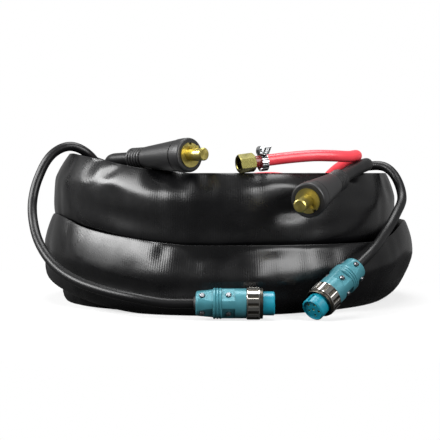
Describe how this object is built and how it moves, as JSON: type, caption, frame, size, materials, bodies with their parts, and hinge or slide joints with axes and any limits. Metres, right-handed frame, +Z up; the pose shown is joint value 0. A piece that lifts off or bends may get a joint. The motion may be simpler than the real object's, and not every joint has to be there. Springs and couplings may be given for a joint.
{
  "type": "welding hose pack",
  "caption": "Coiled interconnecting hose pack for a wire-feed welder, with power plugs, control connectors and gas hoses at both ends of a flat sheath",
  "frame": {"origin": "middle of the footprint, on the floor under the lower tier", "axes": "+Z up, -Y towards the side where the plugs and connectors lie, +X to the right of that side"},
  "size_m": [0.4342, 0.5104, 0.1806],
  "materials": {
    "ribbed_sheath": "semi-gloss",
    "power_jacket": "satin",
    "control_jacket": "satin",
    "red_hose": "semi-gloss",
    "sleeve_rubber": "satin",
    "plug_brass": "machined",
    "copper": "satin",
    "black_steel": "black oxide",
    "teal_enamel": "semi-gloss",
    "grommet_rubber": "matt",
    "ring_chrome": "polished, darkened",
    "insert_plastic": "gloss",
    "contact_brass": "plated",
    "zinc_screw": "bright",
    "fitting_brass": "machined",
    "band_steel": "brushed",
    "zinc_plate": "bright zinc"
  },
  "bodies": {
    "root": {"sheath": "ribbed_sheath", "power_cable_left": "power_jacket", "power_cable_right": "power_jacket", "control_cable_left": "control_jacket", "control_cable_right": "control_jacket", "gas_hose_left": "red_hose", "gas_hose_right": "red_hose", "plug_sleeve_left": "sleeve_rubber", "plug_sleeve_right": "sleeve_rubber", "plug_contact_left": "plug_brass", "plug_contact_right": "plug_brass", "conductor_ferrule_left": "copper", "conductor_ferrule_right": "copper", "plug_screws_left": "black_steel", "plug_screws_right": "black_steel", "backshell_left": "teal_enamel", "backshell_right": "teal_enamel", "cable_grommet_left": "grommet_rubber", "cable_grommet_right": "grommet_rubber", "lock_ring_left": "teal_enamel", "lock_ring_right": "teal_enamel", "front_shell_left": "teal_enamel", "front_shell_right": "teal_enamel", "contact_insert_left": "insert_plastic", "contact_insert_right": "insert_plastic", "contact_pins_left": "contact_brass", "contact_pins_right": "contact_brass", "shell_screws_left": "zinc_screw", "shell_screws_right": "zinc_screw", "hose_tail_left": "fitting_brass", "hose_tail_right": "fitting_brass", "clamp_band_left": "band_steel", "clamp_band_right": "band_steel", "clamp_housing_left": "zinc_plate", "clamp_housing_right": "zinc_plate"},
    "coupling_ring_left": {"coupling_ring_left": "ring_chrome"},
    "union_nut_left": {"union_nut_left": "fitting_brass"},
    "clamp_screw_left": {"clamp_screw_left": "zinc_plate"},
    "coupling_ring_right": {"coupling_ring_right": "ring_chrome"},
    "union_nut_right": {"union_nut_right": "fitting_brass"},
    "clamp_screw_right": {"clamp_screw_right": "zinc_plate"}
  },
  "joints": [
    {"name": "coupling_ring_left_turn", "type": "hinge", "parent": "root", "child": "coupling_ring_left", "pos_m": [0.03201, -0.20529, 0.0161], "axis": [1, 0, 0], "continuous": true},
    {"name": "union_nut_left_turn", "type": "hinge", "parent": "root", "child": "union_nut_left", "pos_m": [0.08732, -0.05869, 0.12421], "axis": [0.1659, 0.9395, -0.2998], "continuous": true},
    {"name": "clamp_screw_left_turn", "type": "hinge", "parent": "root", "child": "clamp_screw_left", "pos_m": [0.07653, -0.0725, 0.13769], "axis": [-0.7332, -0.0858, -0.6746], "continuous": true},
    {"name": "coupling_ring_right_turn", "type": "hinge", "parent": "root", "child": "coupling_ring_right", "pos_m": [0.10006, -0.20407, 0.0201], "axis": [-0.6094, -0.6224, -0.4913], "continuous": true},
    {"name": "union_nut_right_turn", "type": "hinge", "parent": "root", "child": "union_nut_right", "pos_m": [0.02402, -0.15639, 0.15518], "axis": [-0.9203, -0.3721, -0.1207], "continuous": true},
    {"name": "clamp_screw_right_turn", "type": "hinge", "parent": "root", "child": "clamp_screw_right", "pos_m": [0.04002, -0.14992, 0.16899], "axis": [0.3749, -0.9271, 0], "continuous": true}
  ]
}
